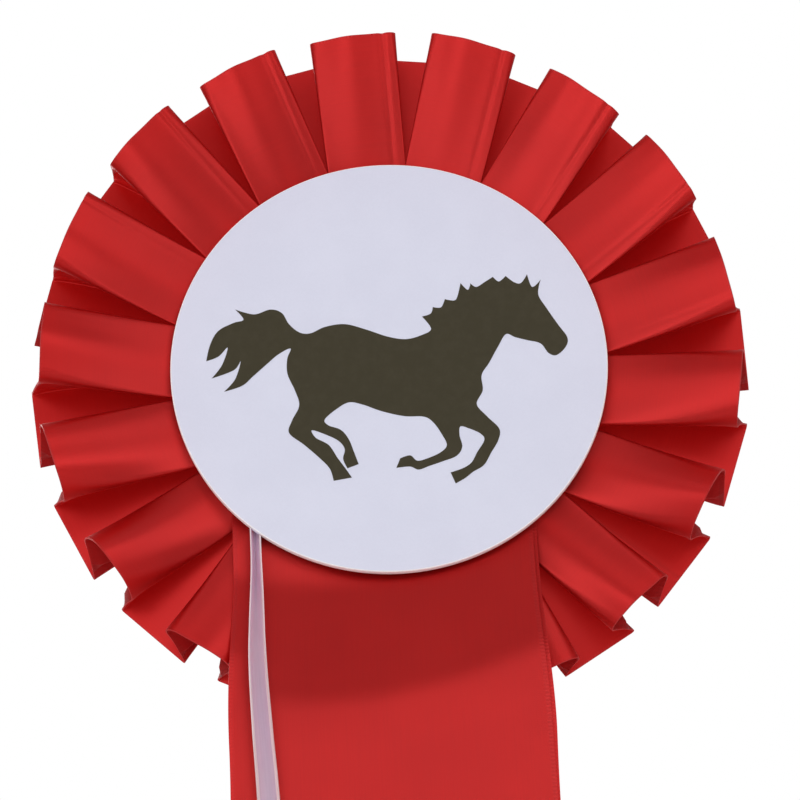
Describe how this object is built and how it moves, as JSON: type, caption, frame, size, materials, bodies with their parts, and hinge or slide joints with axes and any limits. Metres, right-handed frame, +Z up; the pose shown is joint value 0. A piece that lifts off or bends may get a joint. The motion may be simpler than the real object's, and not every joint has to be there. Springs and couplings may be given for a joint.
{
  "type": "award rosette",
  "caption": "Pleated satin award rosette with a printed horse card, two broad hanging tails, a narrow ribbon and a bar pin with a turning safety catch behind.",
  "frame": {"origin": "on the axis of the brooch pin's shank, halfway along the pin bar; the object hangs from it", "axes": "+X to the viewer's right along the pin, +Z up, -Y the way the printed face looks"},
  "size_m": [0.123, 0.0212, 0.2965],
  "materials": {
    "red_satin": "single-face polyester satin with woven selvedges",
    "lilac_satin": "narrow satin ribbon",
    "red_thread": "spun polyester thread",
    "white_card": "smooth coated card",
    "grey_board": "uncoated recycled board",
    "dark_ink": "matt printed ink film",
    "foam": "closed-cell adhesive foam",
    "staple_wire": "galvanised flat wire",
    "nickel_steel": "nickel-plated steel",
    "brass_catch": "bright brass"
  },
  "bodies": {
    "rosette": {"centre_card": "white_card", "horse_print": "dark_ink", "foam_pad": "foam", "pleated_ribbon": "red_satin", "pleat_stitching": "red_thread", "ruffle_staples": "staple_wire", "tail_staples": "staple_wire", "base_card": "grey_board", "back_card": "white_card", "front_tail_anchor": "red_satin", "rear_tail_anchor": "red_satin", "narrow_ribbon_anchor": "lilac_satin", "pin_adhesive_pad": "foam", "pin_base": "nickel_steel", "pin_hinge_rivet": "nickel_steel"},
    "front_tail_drop": {"front_tail": "red_satin"},
    "rear_tail_drop": {"rear_tail": "red_satin"},
    "narrow_ribbon_drop": {"narrow_ribbon": "lilac_satin"},
    "pin": {"pin_wire": "nickel_steel"},
    "catch": {"catch_roller": "brass_catch"}
  },
  "joints": [
    {"name": "front_tail_swing", "type": "hinge", "parent": "rosette", "child": "front_tail_drop", "pos_m": [0, -0.01123, -0.0525], "axis": [-1, 0, 0], "range_deg": [0, 35]},
    {"name": "narrow_ribbon_swing", "type": "hinge", "parent": "rosette", "child": "narrow_ribbon_drop", "pos_m": [0, -0.0121, -0.0525], "axis": [-1, 0, 0], "range_deg": [0, 38.5]},
    {"name": "rear_tail_swing", "type": "hinge", "parent": "rosette", "child": "rear_tail_drop", "pos_m": [0, -0.016, -0.0755], "axis": [1, 0, 0], "range_deg": [0, 30]},
    {"name": "pin_swing", "type": "hinge", "parent": "rosette", "child": "pin", "pos_m": [-0.014, 0, 0], "axis": [0, 0, 1], "range_deg": [0, 100]},
    {"name": "catch_turn", "type": "hinge", "parent": "rosette", "child": "catch", "pos_m": [0.013, 0, 0], "axis": [1, 0, 0], "range_deg": [0, 90]}
  ],
  "couplings": [
    {"joint": "narrow_ribbon_swing", "follows": "front_tail_swing", "ratio": 1.1}
  ]
}
